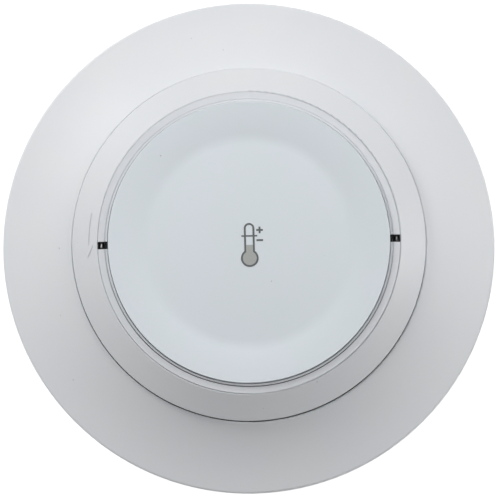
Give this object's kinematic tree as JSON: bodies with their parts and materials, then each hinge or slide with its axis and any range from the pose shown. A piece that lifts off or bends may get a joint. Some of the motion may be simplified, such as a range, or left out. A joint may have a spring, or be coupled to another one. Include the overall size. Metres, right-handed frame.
{
  "type": "heat detector",
  "caption": "Round wireless heat detector: a flanged base and a twist-lock head with a dished test button, a light ring and side sensor windows.",
  "frame": {"origin": "centre of the mounting plate's back face, on the mounting surface", "axes": "+Z out of the face, +Y up as the pictogram is read, +X to the right"},
  "size_m": [0.142, 0.142, 0.0385],
  "materials": {
    "bezel_white": "satin moulded white plastic, fine texture",
    "flange_white": "satin moulded white plastic, fine texture",
    "button_white": "cool white satin plastic",
    "light_guide": "milky translucent light guide",
    "print_grey": "pad-printed grey ink",
    "print_light": "pad-printed light grey ink",
    "guard_black": "black plastic",
    "housing_white": "textured white plastic",
    "inner_white": "natural white plastic",
    "sensor_glass": "glass bead",
    "board_green": "solder mask",
    "chip_black": "moulded epoxy",
    "shield_metal": "tinned shield",
    "copper": "bare trace",
    "led_yellow": "phosphor lens",
    "disc_brass": "thin rolled brass",
    "ceramic_white": "fired ceramic layer",
    "cup_black": "black plastic",
    "spring_steel": "nickel-plated spring wire",
    "screw_steel": "zinc-plated screw",
    "cell_wrap": "printed cell sleeve, no text",
    "capacitor_can": "aluminium can",
    "ferrite": "ferrite"
  },
  "bodies": {
    "base": {"mounting_plate": "housing_white", "trim_ring": "flange_white", "ring_screws": "screw_steel"},
    "head": {"rear_housing": "housing_white", "front_bezel": "bezel_white", "battery_carrier": "inner_white", "inner_frame": "inner_white", "light_ring": "light_guide", "sensor_guard_left": "guard_black", "sensor_guard_right": "guard_black", "thermistor_left": "sensor_glass", "thermistor_right": "sensor_glass", "circuit_board": "board_green", "microcontroller": "chip_black", "radio_module": "shield_metal", "antenna": "copper", "crystal": "shield_metal", "smd_components": "chip_black", "status_leds": "led_yellow", "capacitors": "capacitor_can", "inductor": "ferrite", "programming_header": "chip_black", "tact_switch_body": "shield_metal", "tamper_switch_body": "chip_black", "tamper_spring": "spring_steel", "button_springs": "spring_steel", "battery_left": "cell_wrap", "battery_right": "cell_wrap", "battery_contacts": "spring_steel", "battery_springs": "spring_steel", "sounder_cup": "cup_black", "piezo_disc": "disc_brass", "piezo_ceramic": "ceramic_white", "sounder_contacts": "spring_steel", "housing_screws": "screw_steel", "board_screws": "screw_steel"},
    "button": {"test_button": "button_white", "button_icon": "print_grey", "icon_fill": "print_light"},
    "switch_plunger": {"switch_plunger": "inner_white"},
    "tamper_plunger": {"tamper_plunger": "inner_white"}
  },
  "joints": [
    {"name": "head_twist", "type": "hinge", "parent": "base", "child": "head", "pos_m": [0, 0, 0.0075], "axis": [0, 0, 1], "range_deg": [0, 20]},
    {"name": "button_press", "type": "slide", "parent": "head", "child": "button", "axis": [0, 0, -1], "range_m": [0, 0.0005], "stiffness_N_per_m": 1500, "springref_m": -0.0006, "deforming": ["button_springs"]},
    {"name": "switch_press", "type": "slide", "parent": "head", "child": "switch_plunger", "axis": [0, 0, -1], "range_m": [0, 0.0005]},
    {"name": "tamper_slide", "type": "slide", "parent": "head", "child": "tamper_plunger", "axis": [0, 0, -1], "range_m": [0, 0.0012], "deforming": ["tamper_spring"]}
  ],
  "couplings": [
    {"joint": "switch_press", "follows": "button_press", "ratio": 1},
    {"joint": "tamper_slide", "follows": "head_twist", "m_per_rad": 0.00343}
  ]
}
